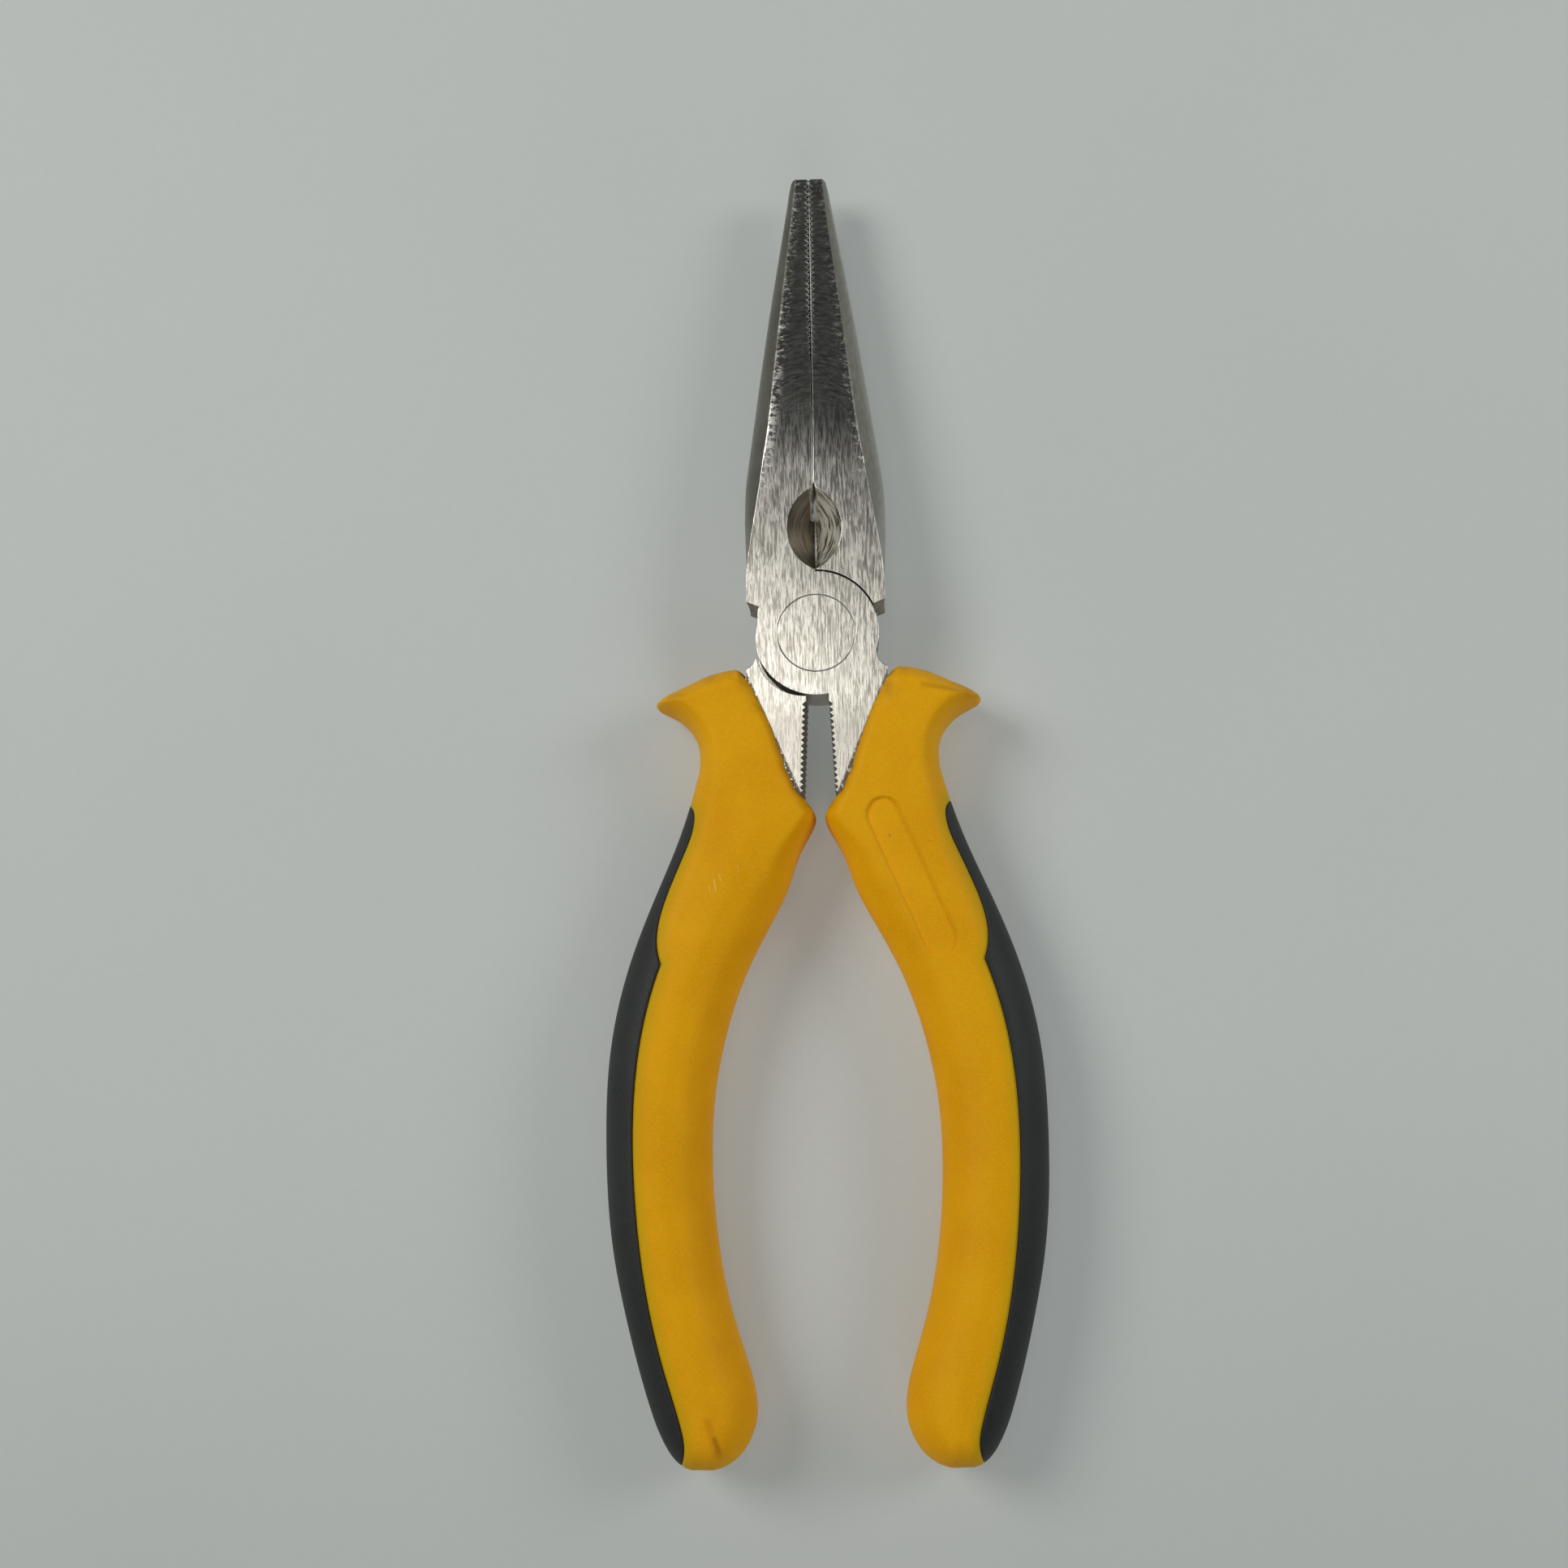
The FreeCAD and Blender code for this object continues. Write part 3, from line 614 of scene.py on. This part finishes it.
def panel(x, y):
    """Depth of the plain round-ended recess on the right-hand grip's upper face."""
    centre_x, centre_y, slant = 11.0, -30.2, math.radians(23.5)
    half_width, half_straight, depth, wall = 2.1, 8.2, 0.45, 0.12
    u = (x - centre_x) * math.cos(slant) + (y - centre_y) * math.sin(slant)
    v = -(x - centre_x) * math.sin(slant) + (y - centre_y) * math.cos(slant)
    beyond = np.maximum(np.abs(v) - half_straight, 0)
    return depth * step(half_width - np.sqrt(u * u + beyond * beyond), -wall, wall)


ACROSS, DOWN_WALL = 92, 7
EDGE_CROWDING = 0.55
SEAM_GROOVE_DEPTH, SEAM_GROOVE_WIDTH, SEAM_CLEARANCE = 0.26, 0.17, 0.02


def ring_mesh(name, rows, start, stop, shape, side, seam, recess):
    """A closed skin with one ring per row, from x = start over the top to x = stop and back underneath."""
    even = np.linspace(0, 1, ACROSS)
    share = EDGE_CROWDING * (0.5 - 0.5 * np.cos(math.pi * even)) + (1 - EDGE_CROWDING) * even
    x = start[:, None] + (stop - start)[:, None] * share[None, :]
    y = np.repeat(rows[:, None], ACROSS, 1)
    z = shape.height(x.ravel(), y.ravel()).reshape(x.shape)
    off_seam = x - np.where(np.isfinite(seam), seam, 1e3)[:, None]
    z = z - SEAM_GROOVE_DEPTH * np.exp(-(off_seam / SEAM_GROOVE_WIDTH) ** 2)
    upper = z - (panel(x, y) if recess else 0)
    lean = np.linspace(1, -1, DOWN_WALL + 2)[1:-1]
    stop_x, start_x = np.repeat(stop[:, None], DOWN_WALL, 1), np.repeat(start[:, None], DOWN_WALL, 1)

    def wall_z(column, slope):
        middle = 0.5 * (upper[:, column] - z[:, column])
        reach = 0.5 * (upper[:, column] + z[:, column])
        return middle[:, None] + reach[:, None] * slope[None, :]

    wall_y = np.repeat(rows[:, None], DOWN_WALL, 1)
    ring_x = np.concatenate([x, stop_x, x[:, ::-1], start_x], 1)
    ring_y = np.concatenate([y, wall_y, y, wall_y], 1)
    ring_z = np.concatenate([upper, wall_z(-1, lean), -z[:, ::-1], wall_z(0, -lean)], 1)
    count = ring_x.shape[1]
    verts = np.stack([ring_x * side, ring_y, ring_z * side], 2).reshape(-1, 3) * MM
    faces = [(i + j, i + (j + 1) % count, i + count + (j + 1) % count, i + count + j)
             for i in range(0, (len(rows) - 1) * count, count) for j in range(count)]
    faces.append(tuple(range(count - 1, -1, -1)))
    faces.append(tuple((len(rows) - 1) * count + j for j in range(count)))
    mesh = bpy.data.meshes.new(name)
    mesh.from_pydata(verts.tolist(), [], faces)
    mesh.shade_smooth()
    plan = np.stack([ring_x.ravel(), ring_y.ravel()], 1)
    inner_y = shape.inner_line[:, 1]
    steel_edge = shape.inner_line[(inner_y > -21.5) & (inner_y < -5.0)]
    for label, line in (("seam_distance", shape.seam_line), ("steel_distance", steel_edge),
                        ("crown_distance", shape.crown_line)):
        mesh.attributes.new(label, "FLOAT", "POINT").data.foreach_set("value", distance_to_line(plan, line))
    mesh.update()
    piece = bpy.data.objects.new(name, mesh)
    bpy.context.scene.collection.objects.link(piece)
    return piece


# Stains, scratches and specks on the upper faces: plan start, plan end, width, colour and strength
LEFT_MARKS = (
    ((-14.6, -94.2), (-13.3, -98.3), 0.85, (0.72, 0.31, 0.004), 0.75),
    ((-13.75, -96.2), (-13.35, -97.7), 0.50, (0.42, 0.15, 0.003), 0.6),
    # Small scratches painted bright yellow: painted highlights where they catch the light.
    ((-12.9, -30.2), (-12.7, -31.6), 0.10, (1.0, 0.72, 0.20), 0.9),
    ((-12.2, -29.6), (-12.1, -30.4), 0.09, (1.0, 0.72, 0.20), 0.8),
    ((-13.5, -31.0), (-13.4, -31.7), 0.08, (1.0, 0.72, 0.20), 0.7),
    ((-10.0, -28.6), (-9.9, -29.3), 0.08, (1.0, 0.72, 0.20), 0.6),
)
RIGHT_MARKS = (
    ((12.9, -6.9), (18.2, -8.0), 0.60, (0.56, 0.26, 0.010), 0.6),
    ((8.4, -25.2), (8.5, -25.3), 0.14, (0.25, 0.12, 0.02), 0.8),
    ((13.2, -26.0), (13.3, -26.0), 0.11, (0.30, 0.15, 0.02), 0.7),
)


def grips():
    shape = Grip()
    grey = grey_plastic()
    has_insert = np.isfinite(shape.seam) & (shape.seam < shape.outer - SEAM_CLEARANCE)
    seam = np.where(has_insert, shape.seam, np.nan)
    sleeve_outer = np.where(has_insert, shape.seam - SEAM_CLEARANCE, shape.outer)
    rows = np.nonzero(has_insert)[0]
    part = slice(rows[0], rows[-1] + 1)
    for side, word, body, marks in ((1, "right", "upper", RIGHT_MARKS), (-1, "left", "lower", LEFT_MARKS)):
        sleeve = ring_mesh(f"{word}_sleeve_skin", shape.rows, sleeve_outer, shape.inner,
                           shape, side, seam, side == 1)
        sleeve.data.materials.append(yellow_plastic(word, marks))
        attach(sleeve, body)
        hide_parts(f"{word}_sleeve")
        insert = ring_mesh(f"{word}_insert_skin", shape.rows[part], shape.outer[part],
                           seam[part] + SEAM_CLEARANCE, shape, side, seam[part], False)
        insert.data.materials.append(grey)
        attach(insert, body)
        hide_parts(f"{word}_grip_insert")


def steel_parts():
    finish = Steel("ground_steel").finished()
    for node in ("lower_lever", "upper_lever", "pivot_rivet"):
        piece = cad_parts[node]
        for holder in piece.material_slots:
            holder.material = finish


def stage():
    low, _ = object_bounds()
    mesh = bpy.data.meshes.new("floor")
    reach = 4.0
    corners = [(-reach, -reach), (reach, -reach), (reach, reach), (-reach, reach)]
    mesh.from_pydata([(a, b, low[2]) for a, b in corners], [], [(0, 1, 2, 3)])
    floor = bpy.data.objects.new("floor", mesh)
    bpy.context.scene.collection.objects.link(floor)
    mesh.materials.append(backdrop())
    floor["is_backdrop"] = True
    area_light("left_window", (-0.45, 0.20, 0.50), 0.35, 2.2, (1.0, 0.99, 0.965))
    area_light("right_window", (0.55, 0.15, 0.40), 0.30, 1.3, (0.965, 0.985, 1.0))
    area_light("overhead", (-0.085, 0.078, 0.85), 0.20, 0.265, (1.0, 0.975, 0.92))
    area_light("front_fill", (0.0, -0.60, 0.40), 0.45, 0.55, (1.0, 0.99, 0.97))
    world = bpy.data.worlds.new("soft_room")
    bpy.context.scene.world = world
    world.use_nodes = True
    sky = world.node_tree.nodes["Background"]
    sky.inputs["Color"].default_value = (0.92, 0.97, 1.0, 1)
    sky.inputs["Strength"].default_value = 0.10
    view = bpy.context.scene.view_settings
    view.view_transform, view.look = "Standard", "None"


camera()
steel_parts()
grips()
stage()
